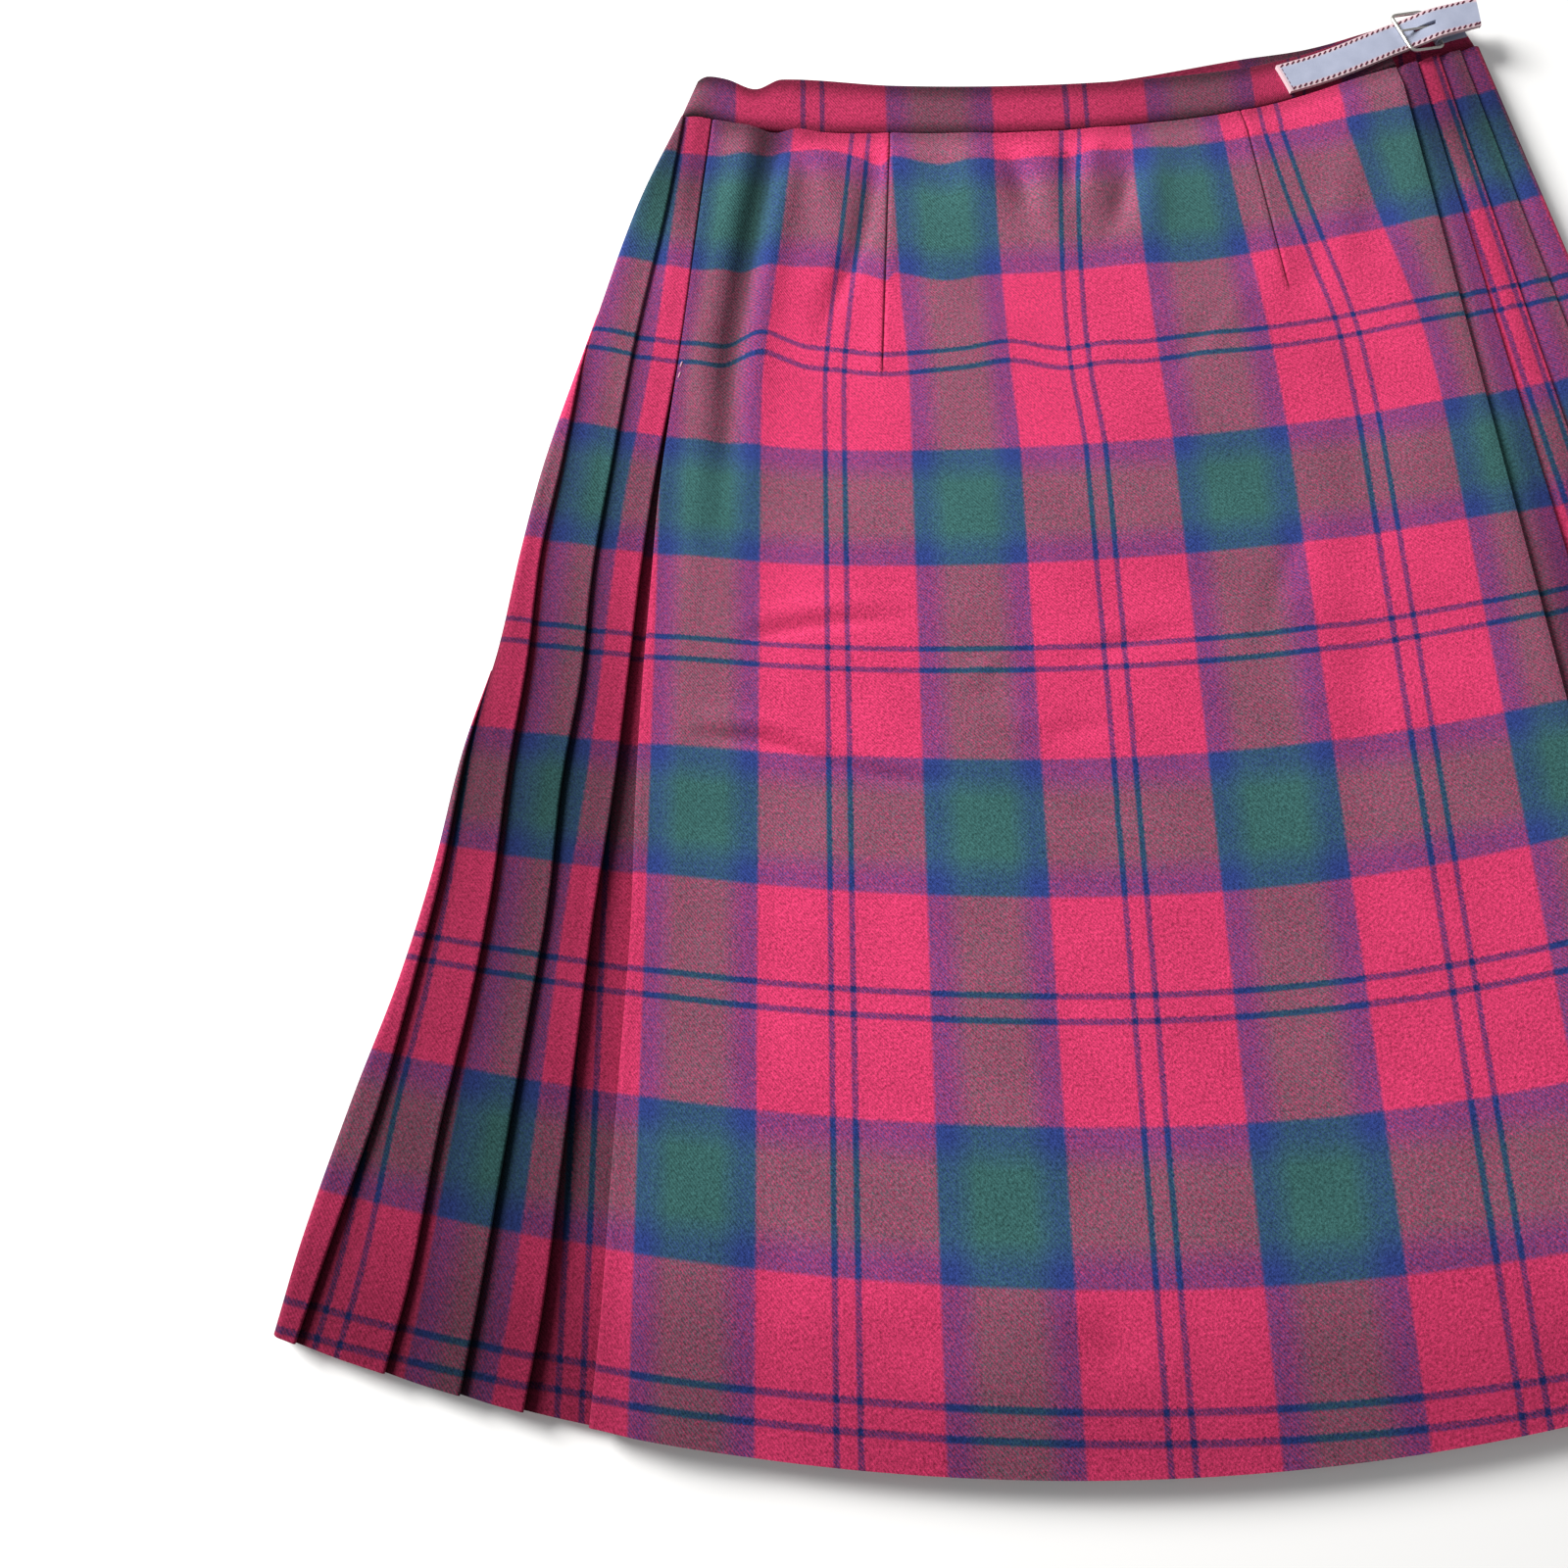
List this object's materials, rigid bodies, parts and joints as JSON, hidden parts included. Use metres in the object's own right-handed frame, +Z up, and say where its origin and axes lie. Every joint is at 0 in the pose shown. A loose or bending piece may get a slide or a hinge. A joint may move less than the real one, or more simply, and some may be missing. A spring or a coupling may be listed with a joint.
{
  "type": "kilted pleated skirt lying flat",
  "caption": "Knee-length kilted skirt in checked wool, lying flat front up: flat wrap apron, knife pleats, waistband, leather strap and buckle.",
  "frame": {"origin": "middle of the lying skirt's box, on the surface it lies on", "axes": "+X across the skirt to the strap side, +Y from the hem to the waist, +Z up out of the front"},
  "size_m": [0.671, 0.7044, 0.0172],
  "materials": {
    "wool_check": "soft brushed wool twill in a large red, green and blue check",
    "strap_leather": "smooth pale blue-grey leather, satin",
    "buckle_metal": "satin nickel"
  },
  "bodies": {
    "root": {"pleated_back": "wool_check", "under_apron": "wool_check", "right_front_pleats": "wool_check", "left_front_pleats": "wool_check", "front_apron": "wool_check", "waistband_back": "wool_check", "waistband_under": "wool_check", "waistband_front": "wool_check", "waist_strap": "strap_leather", "buckle_chape": "strap_leather", "buckle_frame": "buckle_metal", "buckle_prong": "buckle_metal"}
  },
  "joints": []
}
